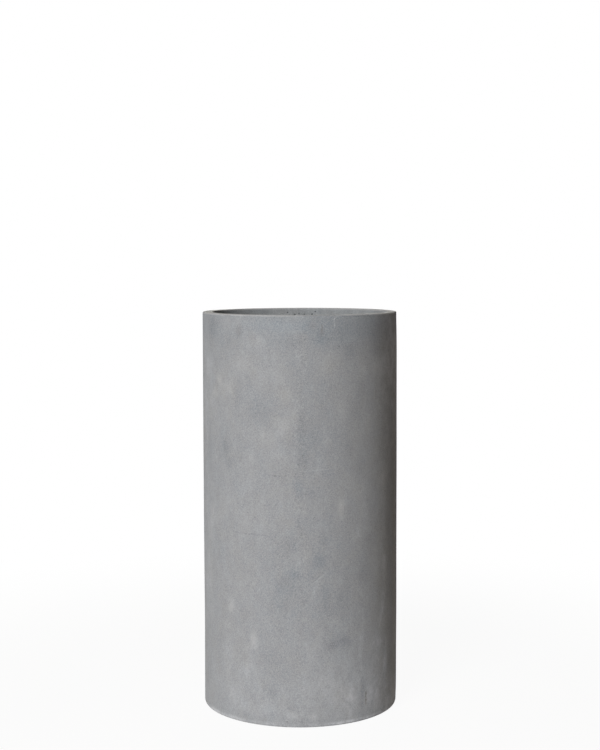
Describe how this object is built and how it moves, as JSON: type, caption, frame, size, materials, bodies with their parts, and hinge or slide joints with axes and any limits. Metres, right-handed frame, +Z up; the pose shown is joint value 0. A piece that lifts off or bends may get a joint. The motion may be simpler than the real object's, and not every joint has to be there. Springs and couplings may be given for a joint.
{
  "type": "tall round planter",
  "caption": "Tall straight round planter: stone-look face over a fibreglass shell, flat rim with a turned-down lip, lift-out drain plug and rubber foot pads.",
  "frame": {"origin": "on the floor, on the planter's own axis, level with the undersides of the foot pads", "axes": "+Z up along the planter's axis, -Y the side that faces the picture's camera, +X to its right"},
  "size_m": [0.395, 0.395, 0.8],
  "materials": {
    "stone_face": "matt cast stone composite, mottled mid grey with fine specks and pinholes",
    "fibreglass": "hand-laid glass laminate with a grey resin, strands showing through",
    "filler": "trowelled resin and glass filler, matt",
    "rubber": "moulded black rubber, matt"
  },
  "bodies": {
    "planter": {"face_shell": "stone_face", "fibreglass_wall": "fibreglass", "rim_stiffener": "filler", "base_panel": "fibreglass", "corner_bead": "filler", "foot_pad_1": "rubber", "foot_pad_2": "rubber", "foot_pad_3": "rubber", "foot_pad_4": "rubber"},
    "plug": {"drain_plug": "rubber"}
  },
  "joints": [
    {"name": "plug_lift", "type": "slide", "parent": "planter", "child": "plug", "axis": [0, 0, 1], "range_m": [0, 0.82]}
  ]
}
